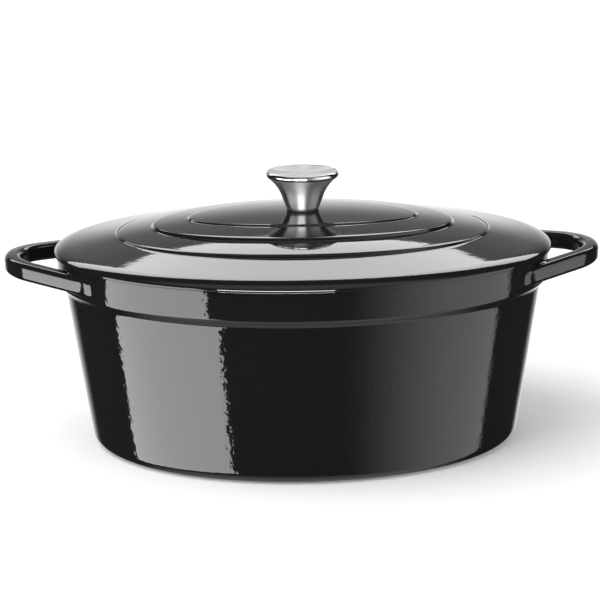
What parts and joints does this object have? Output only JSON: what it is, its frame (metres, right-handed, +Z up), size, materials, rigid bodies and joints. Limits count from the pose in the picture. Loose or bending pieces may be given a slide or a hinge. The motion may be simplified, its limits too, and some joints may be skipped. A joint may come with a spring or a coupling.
{
  "type": "oval dutch oven",
  "caption": "Oval enamelled cast iron casserole pot with two loop handles, a stepped domed lid and a flared steel knob.",
  "frame": {"origin": "middle of the foot ring, on the surface the pot stands on", "axes": "+X along the oval's length, through one loop handle; +Y across it to the back; +Z up, through the knob"},
  "size_m": [0.3802, 0.248, 0.1726],
  "materials": {
    "black_enamel": "gloss black vitreous enamel over cast iron",
    "knob_steel": "satin-turned stainless steel with a polished lip",
    "screw_steel": "plain stainless steel",
    "gasket_rubber": "matte black silicone"
  },
  "bodies": {
    "pot": {"pot": "black_enamel"},
    "lid": {"lid": "black_enamel", "knob_gasket": "gasket_rubber", "knob_shell": "knob_steel", "knob_cap": "knob_steel", "knob_boss": "knob_steel", "knob_screw": "screw_steel", "flat_washer": "screw_steel", "lock_washer": "screw_steel"}
  },
  "joints": [
    {"name": "lid_lift", "type": "slide", "parent": "pot", "child": "lid", "axis": [0, 0, 1], "range_m": [0, 0.1]}
  ]
}
